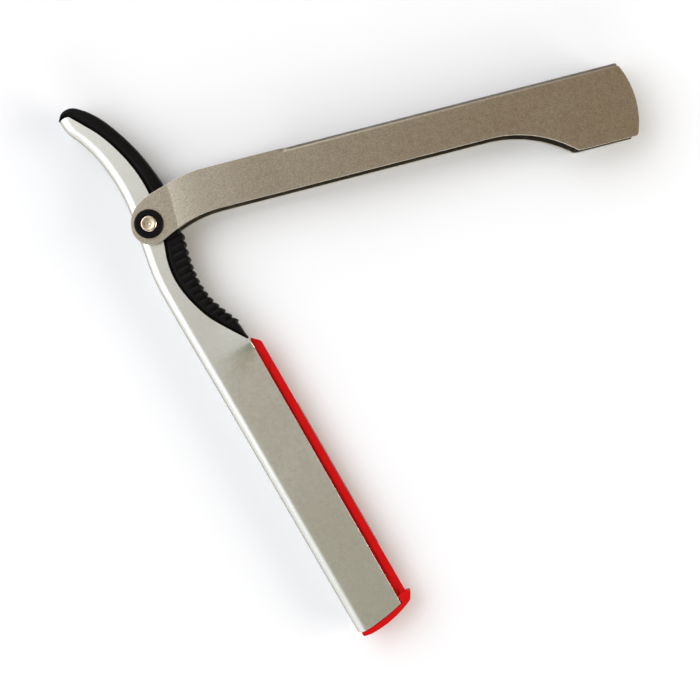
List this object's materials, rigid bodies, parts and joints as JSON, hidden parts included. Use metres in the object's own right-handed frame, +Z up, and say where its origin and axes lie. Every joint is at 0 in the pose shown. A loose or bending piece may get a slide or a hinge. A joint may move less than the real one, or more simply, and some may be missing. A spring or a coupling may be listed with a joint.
{
  "type": "folding straight razor",
  "caption": "Folding razor: folded steel handle, aluminium blade arm on a riveted pivot, black ribbed tang insert, and a red blade holder that slides in from the toe.",
  "frame": {"origin": "on the pivot axis, on the flat underside of the pivot rivet, which is the lowest plane of the razor lying on its side", "axes": "+Z up along the pivot axis, +X from the pivot along the handle to its wide end, +Y towards the handle's folded edge"},
  "size_m": [0.1283, 0.1334, 0.008],
  "materials": {
    "handle_steel": "fine blasted satin, warm grey",
    "arm_aluminium": "satin anodised",
    "black_plastic": "fine moulded grain",
    "red_plastic": "semi-gloss moulded",
    "rivet_metal": "bright nickel, turned head",
    "blade_steel": "bright strip steel with a ground edge"
  },
  "bodies": {
    "handle": {"handle": "handle_steel", "pivot_rivet": "rivet_metal", "near_washer": "black_plastic", "far_washer": "black_plastic", "near_spacer": "black_plastic", "far_spacer": "black_plastic", "pivot_bush": "rivet_metal"},
    "arm": {"blade_arm": "arm_aluminium", "tang_insert": "black_plastic"},
    "holder": {"blade_holder": "red_plastic", "half_blade": "blade_steel"}
  },
  "joints": [
    {"name": "arm_pivot", "type": "hinge", "parent": "handle", "child": "arm", "pos_m": [0, 0, 0.004], "axis": [0, 0, 1], "range_deg": [-255, 73.4]},
    {"name": "holder_slide", "type": "slide", "parent": "arm", "child": "holder", "axis": [0.2689, -0.9632, 0], "range_m": [0, 0.071]}
  ]
}
